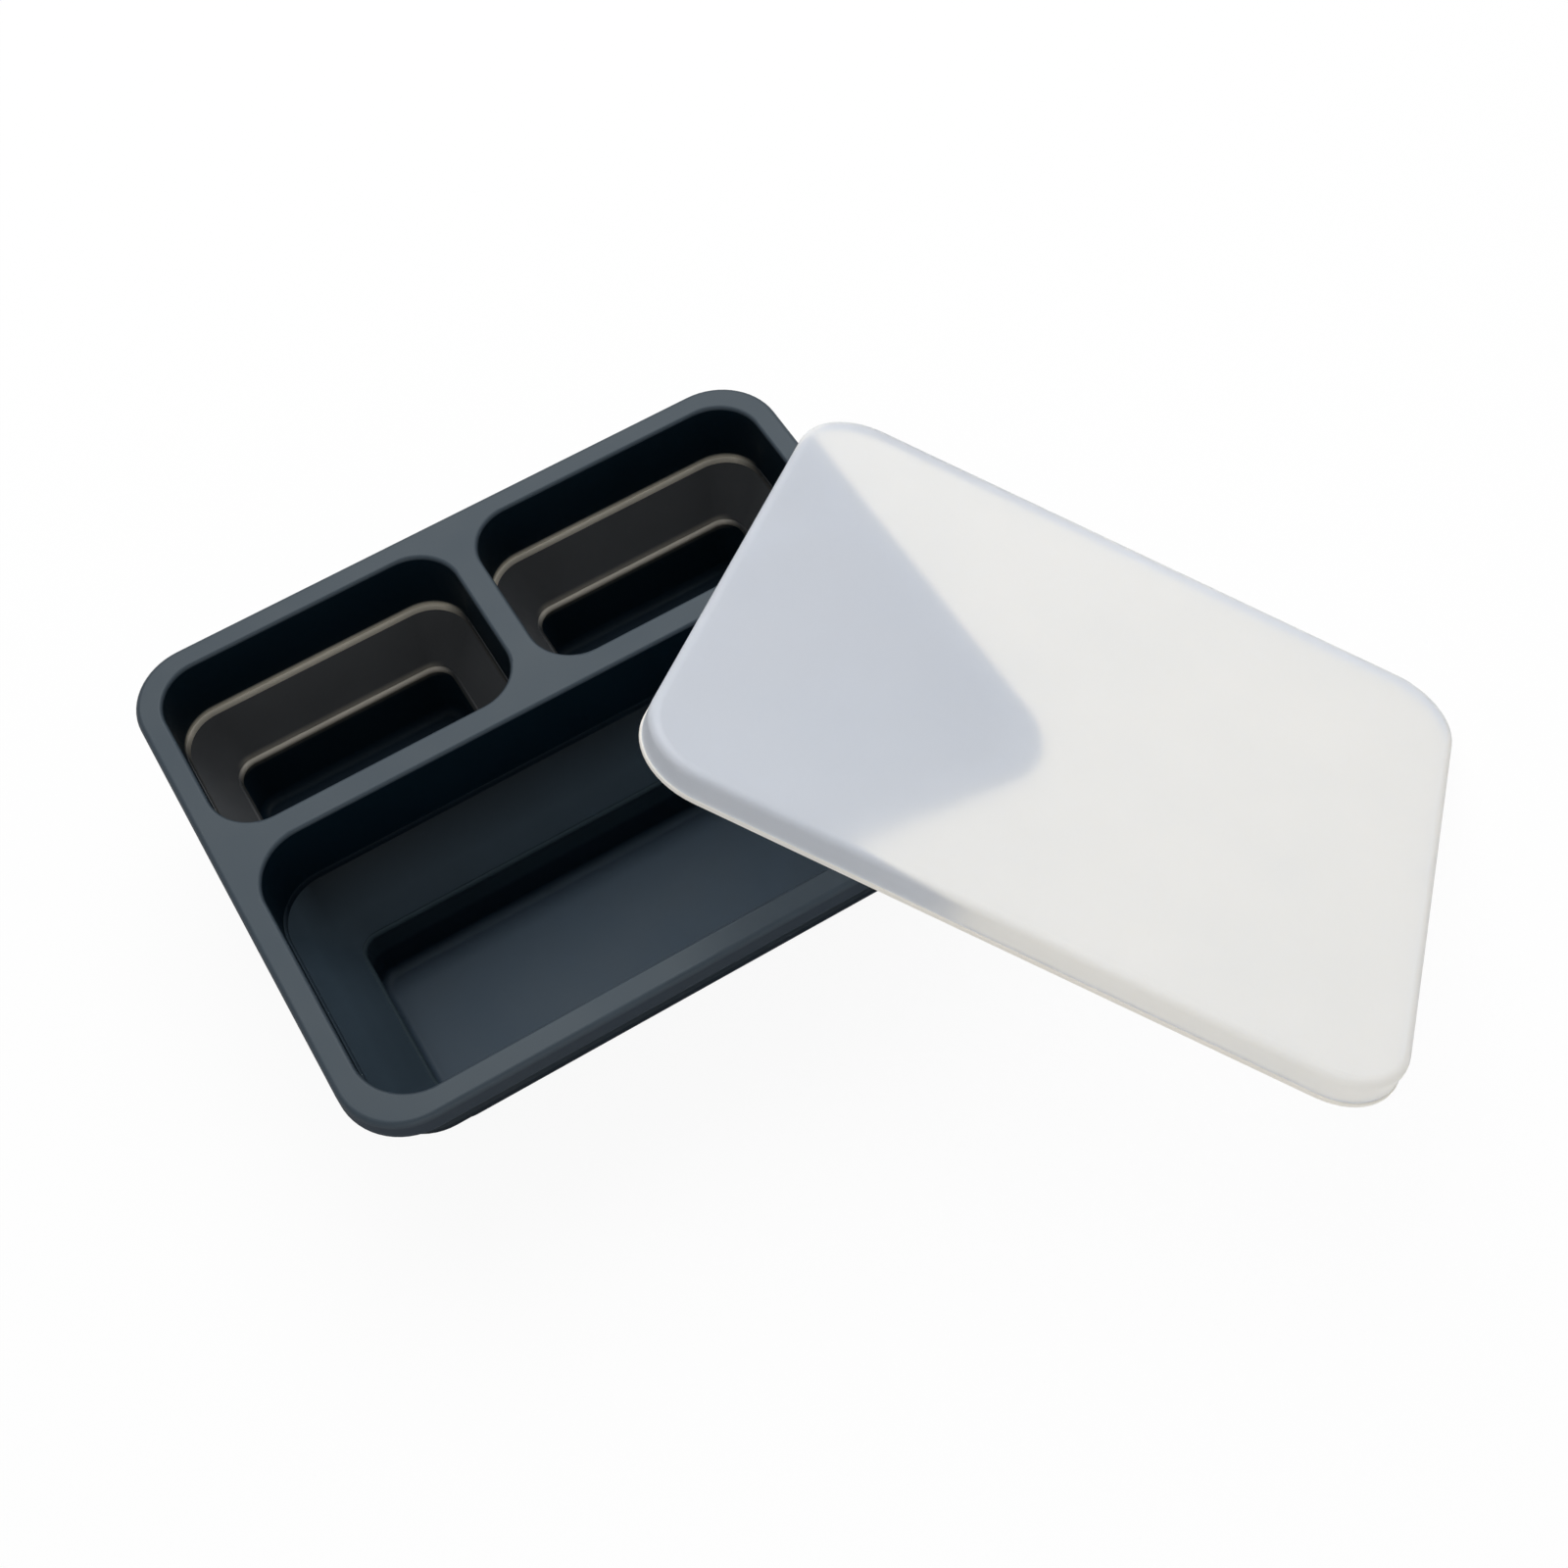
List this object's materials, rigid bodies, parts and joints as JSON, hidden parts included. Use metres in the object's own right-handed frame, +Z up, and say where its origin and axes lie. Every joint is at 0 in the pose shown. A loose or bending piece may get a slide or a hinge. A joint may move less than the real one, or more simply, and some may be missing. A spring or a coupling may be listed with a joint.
{
  "type": "collapsible food storage box",
  "caption": "Rectangular collapsible food box: a flat slate rim round three folding silicone wells, with a frosted shallow lid leaning over one side.",
  "frame": {"origin": "middle of the large well's flat underside, on the table", "axes": "+X to the right along the rim's long side, +Y from the large well towards the two small wells, +Z up"},
  "size_m": [0.3693, 0.3238, 0.1351],
  "materials": {
    "silicone_rim": "satin slate blue-grey silicone",
    "silicone_wall": "satin dark slate silicone",
    "silicone_band": "satin dark slate silicone, thinner at the fold",
    "silicone_taupe": "satin taupe silicone bead",
    "silicone_large_bead": "satin dark slate silicone bead",
    "core_plastic": "plain moulded plastic, hidden inside the rim",
    "lid_frosted": "frosted translucent plastic"
  },
  "bodies": {
    "rim": {"rim_frame": "silicone_rim", "rim_core": "core_plastic", "small_left_upper_wall": "silicone_wall", "small_left_upper_bead": "silicone_taupe", "small_left_fold_band": "silicone_band", "small_right_upper_wall": "silicone_wall", "small_right_upper_bead": "silicone_taupe", "small_right_fold_band": "silicone_band", "large_upper_wall": "silicone_wall", "large_upper_bead": "silicone_large_bead", "large_fold_band": "silicone_band"},
    "lid": {"lid_cover": "lid_frosted", "lid_lip": "lid_frosted"},
    "small_left_cup_body": {"small_left_lower_bead": "silicone_taupe", "small_left_cup": "silicone_wall"},
    "small_right_cup_body": {"small_right_lower_bead": "silicone_taupe", "small_right_cup": "silicone_wall"},
    "large_cup_body": {"large_lower_bead": "silicone_large_bead", "large_cup": "silicone_wall"}
  },
  "joints": [
    {"name": "small_left_fold", "type": "slide", "parent": "rim", "child": "small_left_cup_body", "axis": [0, 0, 1], "range_m": [0, 0.038], "deforming": ["small_left_fold_band"]},
    {"name": "small_right_fold", "type": "slide", "parent": "rim", "child": "small_right_cup_body", "axis": [0, 0, 1], "range_m": [0, 0.038], "deforming": ["small_right_fold_band"]},
    {"name": "large_fold", "type": "slide", "parent": "rim", "child": "large_cup_body", "axis": [0, 0, 1], "range_m": [0, 0.038], "deforming": ["large_fold_band"]},
    {"name": "lid_lift", "type": "slide", "parent": "rim", "child": "lid", "axis": [0.4534, 0, 0.8913], "range_m": [0, 0.1]}
  ]
}
